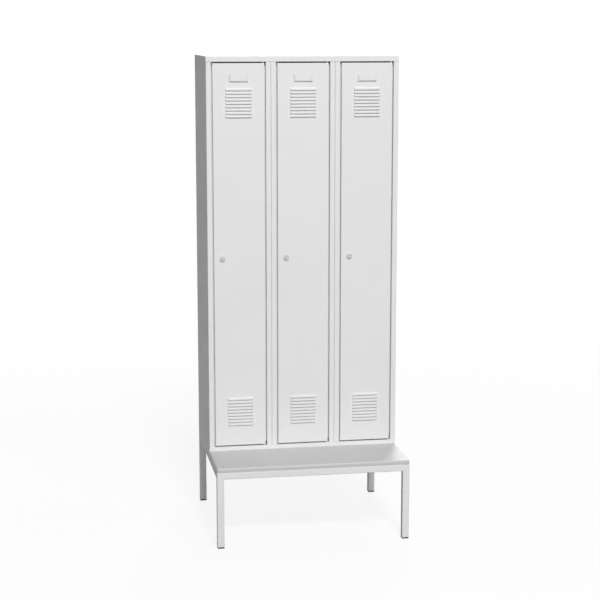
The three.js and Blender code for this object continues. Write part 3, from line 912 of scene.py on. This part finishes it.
def doors():
    """The same door in each compartment."""
    mesh = door_mesh()
    for number in DOORS:
        low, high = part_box(f"door_{number}")
        bm = bmesh.new()
        bm.from_mesh(mesh)
        moved(bm, (low.x + high.x) / 2, FRONT, 0)
        piece(f"door_panel_{number}", bm, "painted_steel", f"door_leaf_{number}", f"door_{number}")


def card_holder(number):
    """A pressed pocket for a name card, open at the top."""
    low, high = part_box(f"card_holder_{number}")
    middle = (low.x + high.x) / 2
    half = (high.x - low.x) / 2
    depth = high.y - low.y - HOLDER_SHEET
    steps = 2 * FOLD_STEPS
    side = [half - HOLDER_SIDE * step / steps for step in range(steps + 1)]
    columns = sorted([-x for x in side] + side)
    rows = [low.z + HOLDER_FOOT * step / steps for step in range(steps + 1)] + [high.z]
    bm = bmesh.new()
    grid = []
    for z in rows:
        line = []
        for x in columns:
            share = min((half - abs(x)) / HOLDER_SIDE, (z - low.z) / HOLDER_FOOT)
            line.append(bm.verts.new((middle + x, high.y - depth * eased(share), z)))
        grid.append(line)
    for line, following in zip(grid, grid[1:]):
        fill_between(bm, line, following)
    bmesh.ops.recalc_face_normals(bm, faces=bm.faces)
    pocket = thickened(bm, HOLDER_SHEET, 1)
    piece(f"card_pocket_{number}", pocket, "painted_steel", f"door_leaf_{number}",
          f"card_holder_{number}")


# Locks

def lock_middle(number):
    low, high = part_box(f"lock_housing_{number}")
    return (low.x + high.x) / 2, (low.z + high.z) / 2


def lock_housing(number):
    """The lock's head on a thin rim, and its body behind the door's front."""
    low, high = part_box(f"lock_housing_{number}")
    radius = (high.x - low.x) / 2
    bore = PLUG_RADIUS + SEAM
    profile = rounded_path([
        (bore, low.y, LOCK_EDGE),
        (LOCK_FACE_RADIUS, low.y + LOCK_CROWN, LOCK_FACE_EDGE),
        (LOCK_FACE_RADIUS, FRONT - SEAM - LOCK_SKIRT, 0),
        (radius, FRONT - SEAM - LOCK_SKIRT, LOCK_EDGE),
        (radius, FRONT - SEAM, 0),
        (LOCK_BODY_RADIUS, FRONT - SEAM, 0),
        (LOCK_BODY_RADIUS, high.y, LOCK_EDGE),
        (bore, high.y, LOCK_EDGE),
    ], closed=True)
    x, z = lock_middle(number)
    bm = moved(turned(profile, closed=True), x, 0, z)
    piece(f"lock_rosette_{number}", bm, "chrome", f"door_leaf_{number}", f"lock_housing_{number}")


def lock_plug(number):
    """What the key turns: a slotted barrel, a square for the tongue and a rivet head behind it."""
    low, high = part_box(f"lock_plug_{number}")
    cam_low, cam_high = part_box(f"lock_cam_{number}")
    head_low = cam_high.y + SEAM
    rivet = (high.x - low.x) / 2 - SHEET
    core = turned(rounded_path([
        (0, low.y, 0),
        (PLUG_RADIUS, low.y, LOCK_EDGE),
        (PLUG_RADIUS, cam_low.y - SEAM, 0),
        (0, cam_low.y - SEAM, 0),
    ]))
    side = CAM_SQUARE / 2
    square = block((-side, cam_low.y - SHEET, -side), (side, head_low + SHEET, side))
    head = turned(rounded_path([
        (0, head_low, 0),
        (rivet, head_low, 0),
        (rivet, high.y, 2 * LOCK_EDGE),
        (0, high.y, 0),
    ]), SMALL_SIDES)
    width, deep, length = KEY_SLOT
    slot = block((-width / 2, low.y - SHEET, -length / 2), (width / 2, low.y + deep, length / 2))
    x, z = lock_middle(number)
    bm = moved(cut(welded(core, square, head), slot), x, 0, z)
    piece(f"lock_barrel_{number}", bm, "chrome", f"lock_core_{number}", f"lock_plug_{number}")
    # Painted shade: a black plastic fill in the key slot, put where there is only the slot's shade.
    across, up = width / 2 - SLOT_SHADE_PLAY, length / 2 - SLOT_SHADE_PLAY
    slot_shade = block((-across, low.y + SLOT_SHADE_DEPTH, -up), (across, low.y + deep - SEAM, up))
    round_edges(slot_shade, slot_shade.edges, SEAM, SMALL_STEPS)
    piece(f"lock_slot_shade_{number}", moved(slot_shade, x, 0, z), "foot_plastic", f"lock_core_{number}")


def lock_nut(number):
    """A hexagon nut with its corners chamfered on both faces."""
    low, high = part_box(f"lock_nut_{number}")
    x, z = lock_middle(number)
    angles = [2 * math.pi * corner / HEXAGON for corner in range(HEXAGON)]
    outline = [(NUT_RADIUS * math.sin(a), NUT_RADIUS * math.cos(a)) for a in angles]
    nut = prism(outline, place_y, low.y, high.y)
    flat = NUT_RADIUS * math.cos(math.pi / HEXAGON)
    slope = (NUT_RADIUS - flat) / 2
    drum = turned([(0, low.y), (flat, low.y), (NUT_RADIUS, low.y + slope),
                   (NUT_RADIUS, high.y - slope), (flat, high.y), (0, high.y)])
    radius = LOCK_BODY_RADIUS + SEAM
    start, end = low.y - SHEET, high.y + SHEET
    bore = turned([(0, start), (radius, start), (radius, end), (0, end)])
    bm = moved(cut(combined(nut, drum, "INTERSECT"), bore), x, 0, z)
    piece(f"lock_hexagon_nut_{number}", bm, "zinc", f"door_leaf_{number}", f"lock_nut_{number}")


def lock_cam(number):
    """A tongue with rounded corners that hangs down while the lock is open."""
    low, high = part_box(f"lock_cam_{number}")
    x = (low.x + high.x) / 2
    radius = (high.x - low.x) / 2
    axis_z = high.z - radius
    outline = box_outline((low.x, low.z), (high.x, high.z), radius * CAM_END)
    tongue = prism(outline, place_y, low.y, high.y)
    rims = [edge for edge in tongue.edges if abs(edge.verts[0].co.y - edge.verts[1].co.y) < SEAM]
    round_edges(tongue, rims, SEAM, SMALL_STEPS)
    half = CAM_SQUARE / 2 + SEAM
    hole = block((x - half, low.y - SHEET, axis_z - half), (x + half, high.y + SHEET, axis_z + half))
    piece(f"lock_tongue_{number}", cut(tongue, hole), "zinc", f"lock_core_{number}",
          f"lock_cam_{number}")


# Hinge pins

def hinge_stud(name, profile):
    """A pin turned about its upright axis."""
    low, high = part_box(name)
    stud = turned_to(turned(rounded_path(profile)), (0, 0, -1))
    moved(stud, (low.x + high.x) / 2, (low.y + high.y) / 2, 0)
    piece(name.replace("pin", "stud"), stud, "zinc", "cabinet", name)


def top_pin(number):
    """A pin that hangs by its head from the roof's return down into the door."""
    name = f"hinge_pin_top_{number}"
    low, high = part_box(name)
    head = (high.x - low.x) / 2
    shoulder = OPENING_TOP + SHEET + SEAM
    hinge_stud(name, [
        (0, low.z, 0),
        (PIN_RADIUS, low.z, PIN_EDGE),
        (PIN_RADIUS, shoulder, 0),
        (head, shoulder, PIN_EDGE / 2),
        (head, high.z, PIN_EDGE),
        (0, high.z, 0),
    ])


def bottom_pin(number):
    """A pin with a head under the floor and a collar on it that carries the door."""
    name = f"hinge_pin_bottom_{number}"
    low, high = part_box(name)
    head = (high.x - low.x) / 2
    shoulder = OPENING_BOTTOM - SHEET - SEAM
    collar = OPENING_BOTTOM + SEAM
    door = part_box(f"door_{number}")[0].z - SEAM
    hinge_stud(name, [
        (0, low.z, 0),
        (head, low.z, PIN_EDGE),
        (head, shoulder, PIN_EDGE / 2),
        (PIN_RADIUS, shoulder, 0),
        (PIN_RADIUS, collar, 0),
        (head, collar, PIN_EDGE),
        (head, door, PIN_EDGE),
        (PIN_RADIUS, door, 0),
        (PIN_RADIUS, high.z, PIN_EDGE),
        (0, high.z, 0),
    ])


# Fittings inside a compartment

def hat_shelf(number):
    """A shelf with its front edge folded down."""
    low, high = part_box(f"hat_shelf_{number}")
    outline = folded_outline([
        (low.y, low.z, 0),
        (low.y, high.z, FOLD),
        (high.y, high.z, 0),
    ], -SHEET)
    shelf = prism(outline, place_x, low.x, high.x)
    piece(f"hat_shelf_sheet_{number}", shelf, "painted_steel", "cabinet", f"hat_shelf_{number}")


def coat_rail(number):
    """A tube between two flanges, each held by two screws."""
    low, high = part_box(f"coat_rail_{number}")
    middle = (low + high) / 2
    half = (high.x - low.x) / 2
    flange = (high.z - low.z) / 2
    bore = RAIL_RADIUS - RAIL_WALL
    inner = half - RAIL_FLANGE
    profile = rounded_path([
        (bore, -half, 0),
        (flange, -half, 0),
        (flange, -inner, PIN_EDGE),
        (RAIL_RADIUS, -inner, PIN_EDGE),
        (RAIL_RADIUS, inner, PIN_EDGE),
        (flange, inner, PIN_EDGE),
        (flange, half, 0),
        (bore, half, 0),
    ], closed=True)
    rod = moved(turned_to(turned(profile, closed=True), (1, 0, 0)), *middle)
    piece(f"coat_rail_rod_{number}", rod, "zinc", "cabinet", f"coat_rail_{number}")
    heads = []
    for hand in (-1, 1):
        for side in (-1, 1):
            head = turned_to(screw_head(*RAIL_SCREW_HEAD), (-hand, 0, 0))
            place = (middle.x + hand * inner, middle.y, middle.z + side * (flange + RAIL_RADIUS) / 2)
            heads.append(moved(head, *place))
    piece(f"coat_rail_screws_{number}", joined(*heads), "zinc", "cabinet")


def coat_hook(number):
    """A bent strip, screwed to the back."""
    low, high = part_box(f"coat_hook_{number}")
    outline = folded_outline([
        (high.y, high.z, 0),
        (high.y, low.z, HOOK_BEND),
        (low.y, low.z, HOOK_BEND),
        (low.y, low.z + HOOK_TIP, 0),
    ], -HOOK_STRIP)
    strip = prism(outline, place_x, low.x, high.x)
    rims = [edge for edge in strip.edges if edge.calc_face_angle(0) > SHARP_ANGLE]
    round_edges(strip, rims, HOOK_EDGE, SMALL_STEPS)
    piece(f"coat_hook_strip_{number}", strip, "zinc", "cabinet", f"coat_hook_{number}")
    heads = []
    for share in HOOK_SCREW_PLACES:
        place = ((low.x + high.x) / 2, high.y - HOOK_STRIP, low.z + (high.z - low.z) * share)
        heads.append(moved(screw_head(*HOOK_SCREW_HEAD), *place))
    piece(f"coat_hook_screws_{number}", joined(*heads), "zinc", "cabinet")


def stiffener(number):
    """A hat channel with rounded folds on the back of the door."""
    low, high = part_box(f"door_stiffener_{number}")
    middle = (low.x + high.x) / 2
    brim = (high.x - low.x) / 2
    crown = STIFFENER_CROWN / 2
    outline = folded_outline([
        (middle - brim, low.y, 0),
        (middle - crown, low.y, FOLD - SHEET),
        (middle - crown, high.y - SHEET, FOLD - SHEET),
        (middle + crown, high.y - SHEET, FOLD - SHEET),
        (middle + crown, low.y, FOLD - SHEET),
        (middle + brim, low.y, 0),
    ], SHEET)
    piece(f"stiffener_channel_{number}", prism(outline, place_z, low.z, high.z), "painted_steel",
          f"door_leaf_{number}", f"door_stiffener_{number}")


def door_buffers(number):
    """Soft discs on the stop, which the closed door nearly touches."""
    low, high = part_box(f"door_{number}")
    stop = FRONT + DOOR_DEPTH + STOP_GAP
    x = low.x + BUFFER_INSET
    discs = []
    for share in BUFFER_PLACES:
        disc = turned(rounded_path([
            (0, stop, 0),
            (BUFFER_RADIUS, stop, 0),
            (BUFFER_RADIUS, stop - BUFFER_HEIGHT, BUFFER_HEIGHT / 2),
            (0, stop - BUFFER_HEIGHT, 0),
        ]), SMALL_SIDES)
        discs.append(moved(disc, x, 0, low.z + (high.z - low.z) * share))
    piece(f"door_buffers_{number}", joined(*discs), "foot_plastic", "cabinet")


# Back

def back():
    """The back sheet, with rows of spot-weld dimples along the flanges of the walls."""
    radius, deep = WELD_DIMPLE
    face = BACK_HIGH.y
    profile = [(0, face - deep), (radius / 2, face - deep), (radius, face + deep), (0, face + deep)]
    count = round((BACK_HIGH.z - BACK_LOW.z) / DIMPLE_SPACING)
    dimples = []
    for number in DOORS:
        for side in ("left", "right"):
            low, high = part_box(f"wall_{number}_{side}")
            x = low.x + REAR_FLANGE / 2 if side == "left" else high.x - REAR_FLANGE / 2
            for index in range(count):
                z = BACK_LOW.z + (BACK_HIGH.z - BACK_LOW.z) * (index + 0.5) / count
                dimples.append(moved(turned(profile, DIMPLE_SIDES), x, 0, z))
    sheet = block(BACK_LOW, BACK_HIGH)
    round_edges(sheet, sheet.edges, SEAM / 2, SMALL_STEPS)
    piece("back_sheet", cut(sheet, joined(*dimples)), "painted_steel", "cabinet", "back_panel")


# Scene

def seen_ray(tree):
    """1 for rays from the camera, a mirror or glass, 0 for those that light other surfaces."""
    path = tree.nodes.new("ShaderNodeLightPath")
    seen = path.outputs["Is Camera Ray"]
    for kind in ("Is Glossy Ray", "Is Transmission Ray"):
        either = tree.nodes.new("ShaderNodeMath")
        either.operation = "MAXIMUM"
        tree.links.new(seen, either.inputs[0])
        tree.links.new(path.outputs[kind], either.inputs[1])
        seen = either.outputs[0]
    return seen


def stage_floor():
    """A pale floor that fades into the white backdrop and throws back less light than it shows."""
    bpy.ops.mesh.primitive_plane_add(size=FLOOR_SIZE, location=(0, 0, 0))
    floor = bpy.context.object
    floor.name = "floor"
    material, shader = new_material("floor", FLOOR_BOUNCE, FLOOR_ROUGHNESS)
    shader.inputs["Specular IOR Level"].default_value = 0
    tree = material.node_tree
    seen = seen_ray(tree)
    color = blend_colors(material, seen, FLOOR_BOUNCE, FLOOR_SEEN)
    tree.links.new(color, shader.inputs["Base Color"])
    place = tree.nodes.new("ShaderNodeTexCoord")
    distance = tree.nodes.new("ShaderNodeVectorMath")
    distance.operation = "LENGTH"
    tree.links.new(place.outputs["Object"], distance.inputs[0])
    fade = ramp(material, distance.outputs["Value"], *FLOOR_GLOW, *FLOOR_FADE)
    share = tree.nodes.new("ShaderNodeMath")
    share.operation = "MULTIPLY"
    tree.links.new(seen, share.inputs[0])
    tree.links.new(fade, share.inputs[1])
    glow = tree.nodes.new("ShaderNodeEmission")
    mixed = tree.nodes.new("ShaderNodeMixShader")
    tree.links.new(share.outputs[0], mixed.inputs["Fac"])
    tree.links.new(shader.outputs["BSDF"], mixed.inputs[1])
    tree.links.new(glow.outputs["Emission"], mixed.inputs[2])
    tree.links.new(mixed.outputs["Shader"], tree.nodes["Material Output"].inputs["Surface"])
    floor.data.materials.append(material)


def world():
    """Even pale light. The camera and mirrors see it white."""
    sky = bpy.data.worlds.new("world")
    bpy.context.scene.world = sky
    sky.use_nodes = True
    tree = sky.node_tree
    background = tree.nodes["Background"]
    background.inputs["Color"].default_value = (1, 1, 1, 1)
    level = tree.nodes.new("ShaderNodeMapRange")
    level.inputs["To Min"].default_value = WORLD_LEVEL
    level.inputs["To Max"].default_value = 1
    tree.links.new(seen_ray(tree), level.inputs["Value"])
    tree.links.new(level.outputs["Result"], background.inputs["Strength"])


def lamp(name, place, size, power):
    """A soft lamp, with its width and height, that points at the middle of the object."""
    data = bpy.data.lights.new(name, "AREA")
    data.shape = "RECTANGLE"
    data.size, data.size_y = size
    data.energy = power
    obj = bpy.data.objects.new(name, data)
    bpy.context.scene.collection.objects.link(obj)
    obj.location = place
    obj.rotation_euler = (Vector(LAMP_TARGET) - Vector(place)).to_track_quat("-Z", "Y").to_euler()


def camera():
    """The photograph's view."""
    data = bpy.data.cameras.new("camera")
    data.sensor_width = SENSOR_WIDTH
    data.lens = CAMERA_LENS
    data.clip_end = CLIP_END
    obj = bpy.data.objects.new("camera", data)
    obj.location = CAMERA_PLACE
    obj.rotation_euler = (math.radians(90 - CAMERA_PITCH), 0, math.radians(-CAMERA_YAW))
    bpy.context.scene.collection.objects.link(obj)
    bpy.context.scene.camera = obj


def compartment(number):
    """What repeats with each door, apart from the door itself."""
    low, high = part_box(f"door_{number}")
    middle = (low.x + high.x) / 2
    wall(f"wall_{number}_left", -1, middle)
    wall(f"wall_{number}_right", 1, middle)
    card_holder(number)
    stiffener(number)
    lock_housing(number)
    lock_plug(number)
    lock_nut(number)
    lock_cam(number)
    top_pin(number)
    bottom_pin(number)
    hat_shelf(number)
    coat_rail(number)
    coat_hook(number)
    door_buffers(number)


camera()
stage_floor()
world()
for lamp_name, lamp_values in LAMPS.items():
    lamp(lamp_name, *lamp_values)
bpy.context.scene.view_settings.view_transform = "Standard"

base()
bench_seat()
roof()
floor_tray()
for door_number in DOORS:
    compartment(door_number)
doors()
back()
